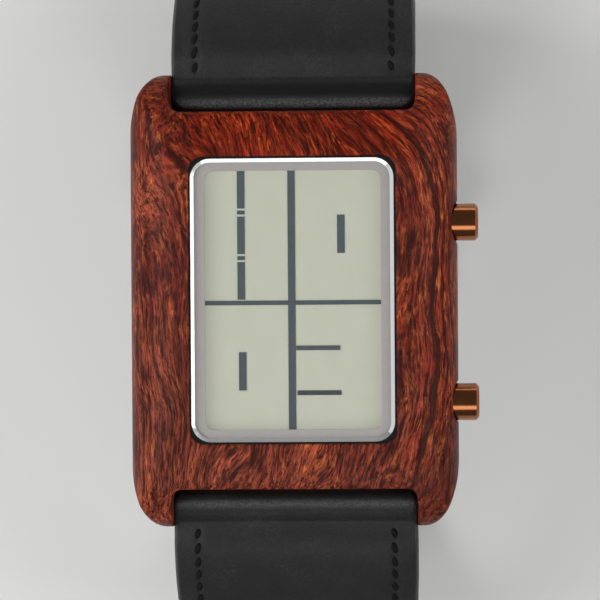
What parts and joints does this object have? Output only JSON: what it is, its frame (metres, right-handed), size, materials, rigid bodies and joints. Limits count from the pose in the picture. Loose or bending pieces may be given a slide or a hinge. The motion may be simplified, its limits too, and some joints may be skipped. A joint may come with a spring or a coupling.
{
  "type": "lcd wristwatch",
  "caption": "Rectangular rosewood wristwatch with a bar-segment liquid crystal display, two side pushers and a buckled black leather strap.",
  "frame": {"origin": "centre of the case back's flat outer face", "axes": "+Z out of the display, +Y towards the upper strap (12 o'clock), +X towards the pushers (3 o'clock)"},
  "size_m": [0.0372, 0.0813, 0.0542],
  "materials": {
    "rosewood": "oiled satin rosewood with fine dark pores and orange-red flecks",
    "steel_brushed": "brushed stainless steel",
    "steel_polished": "polished stainless steel",
    "copper_plate": "polished copper-toned plating",
    "black_rubber": "matte black rubber",
    "crystal_glass": "clear mineral glass with polished bevel",
    "mask_grey": "satin grey printed sheet",
    "polarizer": "grey-green polarizing film",
    "display_glass": "thin flat display glass",
    "segment_ink": "dark blue-grey liquid crystal segment",
    "epoxy_seal": "cured epoxy edge seal",
    "reflector": "matte grey-green reflective polarizer",
    "light_guide": "milky acrylic light panel",
    "module_plastic": "moulded off-white plastic",
    "elastomer": "layered contact elastomer",
    "board_green": "green solder-masked circuit board",
    "chip_black": "moulded black chip package",
    "component_tan": "ceramic and tin chip parts",
    "cell_steel": "nickel-plated cell can",
    "contact_gold": "gold-flashed spring contact",
    "strap_leather": "smooth semi-matte black leather",
    "strap_lining": "fine-grained black lining leather",
    "padding": "pressed felt padding",
    "keeper_leather": "smooth black leather, edge painted"
  },
  "bodies": {
    "case": {"wood_case": "rosewood", "case_back": "steel_brushed", "case_back_screws": "steel_polished", "case_back_gasket": "black_rubber", "crystal": "crystal_glass", "crystal_gasket": "black_rubber", "display_mask": "mask_grey", "front_polarizer": "polarizer", "lcd_front_glass": "display_glass", "lcd_segments": "segment_ink", "lcd_seal": "epoxy_seal", "lcd_rear_glass": "display_glass", "rear_polarizer": "reflector", "backlight_panel": "light_guide", "module_frame": "module_plastic", "contact_strips": "elastomer", "circuit_board": "board_green", "driver_chip": "chip_black", "timing_crystal": "steel_polished", "board_components": "component_tan", "battery": "cell_steel", "battery_clamp": "steel_brushed", "battery_spring": "contact_gold", "module_screws": "steel_polished", "switch_contacts": "contact_gold", "upper_pusher_tube": "steel_polished", "upper_pusher_spring": "steel_polished", "lower_pusher_tube": "steel_polished", "lower_pusher_spring": "steel_polished", "top_bar_tube": "steel_polished", "top_bar_spring": "steel_polished", "bottom_bar_tube": "steel_polished", "bottom_bar_spring": "steel_polished"},
    "upper_pusher": {"upper_pusher": "copper_plate", "upper_pusher_clip": "steel_polished", "upper_pusher_seal": "black_rubber"},
    "lower_pusher": {"lower_pusher": "copper_plate", "lower_pusher_clip": "steel_polished", "lower_pusher_seal": "black_rubber"},
    "top_strap": {"top_strap_leather": "strap_leather", "top_strap_lining": "strap_lining", "top_strap_padding": "padding", "fixed_keeper": "keeper_leather", "buckle_bar_tube": "steel_polished", "buckle_bar_spring": "steel_polished"},
    "bottom_strap": {"bottom_strap_leather": "strap_leather", "bottom_strap_lining": "strap_lining", "bottom_strap_padding": "padding"},
    "free_keeper": {"free_keeper": "keeper_leather"},
    "buckle_frame": {"buckle_frame": "steel_brushed"},
    "buckle_tongue": {"buckle_tongue": "steel_brushed"},
    "top_bar_tip_left": {"top_bar_tip_left": "steel_polished"},
    "top_bar_tip_right": {"top_bar_tip_right": "steel_polished"},
    "bottom_bar_tip_left": {"bottom_bar_tip_left": "steel_polished"},
    "bottom_bar_tip_right": {"bottom_bar_tip_right": "steel_polished"},
    "buckle_bar_tip_left": {"buckle_bar_tip_left": "steel_polished"},
    "buckle_bar_tip_right": {"buckle_bar_tip_right": "steel_polished"}
  },
  "joints": [
    {"name": "upper_pusher_press", "type": "slide", "parent": "case", "child": "upper_pusher", "axis": [-1, 0, 0], "range_m": [0, 0.0008], "stiffness_N_per_m": 400, "springref_m": -0.002, "deforming": ["upper_pusher_spring"]},
    {"name": "lower_pusher_press", "type": "slide", "parent": "case", "child": "lower_pusher", "axis": [-1, 0, 0], "range_m": [0, 0.0008], "stiffness_N_per_m": 400, "springref_m": -0.002, "deforming": ["lower_pusher_spring"]},
    {"name": "top_strap_swing", "type": "hinge", "parent": "case", "child": "top_strap", "pos_m": [0, 0.02205, 0.0034], "axis": [1, 0, 0], "range_deg": [-0.4, 0.4]},
    {"name": "bottom_strap_swing", "type": "hinge", "parent": "case", "child": "bottom_strap", "pos_m": [0, -0.02205, 0.0034], "axis": [1, 0, 0], "range_deg": [-0.4, 0.4]},
    {"name": "buckle_frame_lift", "type": "hinge", "parent": "top_strap", "child": "buckle_frame", "pos_m": [0, 0.01605, -0.03764], "axis": [1, 0, 0], "range_deg": [0, 3]},
    {"name": "tongue_lift", "type": "hinge", "parent": "buckle_frame", "child": "buckle_tongue", "pos_m": [0, 0.01605, -0.03764], "axis": [1, 0, 0], "range_deg": [0, 4]},
    {"name": "free_keeper_slide", "type": "hinge", "parent": "top_strap", "child": "free_keeper", "pos_m": [0, 0.01848, -0.0169], "axis": [1, 0, 0], "range_deg": [-5, 25]},
    {"name": "top_bar_left_tip_press", "type": "slide", "parent": "case", "child": "top_bar_tip_left", "axis": [1, 0, 0], "range_m": [0, 0.0014], "stiffness_N_per_m": 300, "springref_m": -0.002, "deforming": ["top_bar_spring"]},
    {"name": "top_bar_right_tip_press", "type": "slide", "parent": "case", "child": "top_bar_tip_right", "axis": [-1, 0, 0], "range_m": [0, 0.0014], "stiffness_N_per_m": 300, "springref_m": -0.002, "deforming": ["top_bar_spring"]},
    {"name": "bottom_bar_left_tip_press", "type": "slide", "parent": "case", "child": "bottom_bar_tip_left", "axis": [1, 0, 0], "range_m": [0, 0.0014], "stiffness_N_per_m": 300, "springref_m": -0.002, "deforming": ["bottom_bar_spring"]},
    {"name": "bottom_bar_right_tip_press", "type": "slide", "parent": "case", "child": "bottom_bar_tip_right", "axis": [-1, 0, 0], "range_m": [0, 0.0014], "stiffness_N_per_m": 300, "springref_m": -0.002, "deforming": ["bottom_bar_spring"]},
    {"name": "buckle_bar_left_tip_press", "type": "slide", "parent": "top_strap", "child": "buckle_bar_tip_left", "axis": [1, 0, 0], "range_m": [0, 0.0014], "stiffness_N_per_m": 300, "springref_m": -0.002, "deforming": ["buckle_bar_spring"]},
    {"name": "buckle_bar_right_tip_press", "type": "slide", "parent": "top_strap", "child": "buckle_bar_tip_right", "axis": [-1, 0, 0], "range_m": [0, 0.0014], "stiffness_N_per_m": 300, "springref_m": -0.002, "deforming": ["buckle_bar_spring"]}
  ],
  "couplings": [
    {"joint": "bottom_strap_swing", "follows": "top_strap_swing", "ratio": 1}
  ]
}
